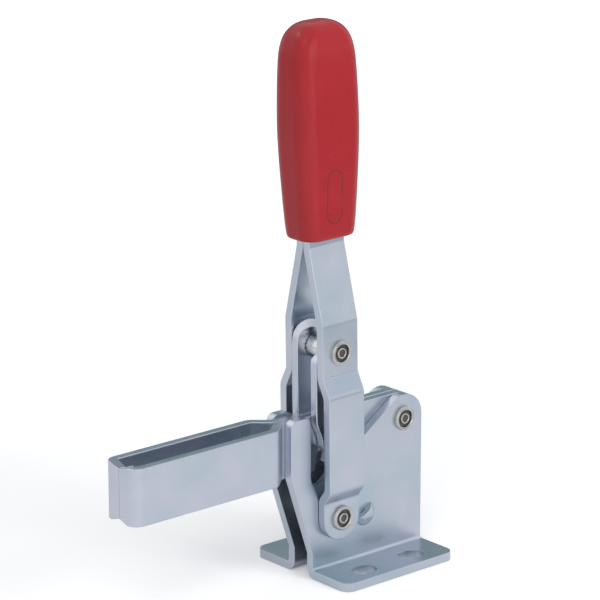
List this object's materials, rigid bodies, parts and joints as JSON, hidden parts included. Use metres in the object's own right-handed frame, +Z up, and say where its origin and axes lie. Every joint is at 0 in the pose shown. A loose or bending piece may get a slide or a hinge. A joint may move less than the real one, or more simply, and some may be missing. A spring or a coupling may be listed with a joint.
{
  "type": "toggle clamp",
  "caption": "Vertical-handle toggle clamp of bent plate with slotted flanged base, twin-strip spindle arm, folded link and a moulded plastic grip.",
  "frame": {"origin": "middle of the four base slots, on the underside of the base flanges", "axes": "+Z up out of the base, -X towards the tip of the clamping arm, pivots along Y"},
  "size_m": [0.1234, 0.0462, 0.1864],
  "materials": {
    "zinc_steel": "bright zinc plated",
    "rivet_steel": "bright",
    "grip_plastic": "satin red"
  },
  "bodies": {
    "base": {"base_plate_near": "zinc_steel", "base_plate_far": "zinc_steel", "handle_pivot_rivet": "rivet_steel", "handle_pivot_spacer": "rivet_steel", "arm_pivot_rivet": "rivet_steel", "arm_pivot_sleeve": "rivet_steel"},
    "handle": {"handle_strip_near": "zinc_steel", "handle_strip_far": "zinc_steel", "grip": "grip_plastic", "link_pivot_rivet": "rivet_steel", "link_pivot_bush": "rivet_steel"},
    "link": {"toggle_link": "zinc_steel", "toggle_rivet": "rivet_steel"},
    "arm": {"arm_bar_near": "zinc_steel", "arm_bar_far": "zinc_steel"}
  },
  "joints": [
    {"name": "handle_swing", "type": "hinge", "parent": "base", "child": "handle", "pos_m": [-0.01425, 0, 0.0202], "axis": [0, 1, 0], "range_deg": [0, 57]},
    {"name": "arm_swing", "type": "hinge", "parent": "base", "child": "arm", "pos_m": [0.01585, 0, 0.0474], "axis": [0, 1, 0], "range_deg": [0, 93.15]},
    {"name": "link_swing", "type": "hinge", "parent": "handle", "child": "link", "pos_m": [-0.01521, 0, 0.0772], "axis": [0, 1, 0], "range_deg": [0, 91.57]}
  ],
  "couplings": [
    {"joint": "arm_swing", "follows": "handle_swing", "ratio": 1.634},
    {"joint": "link_swing", "follows": "handle_swing", "ratio": 1.6064}
  ]
}
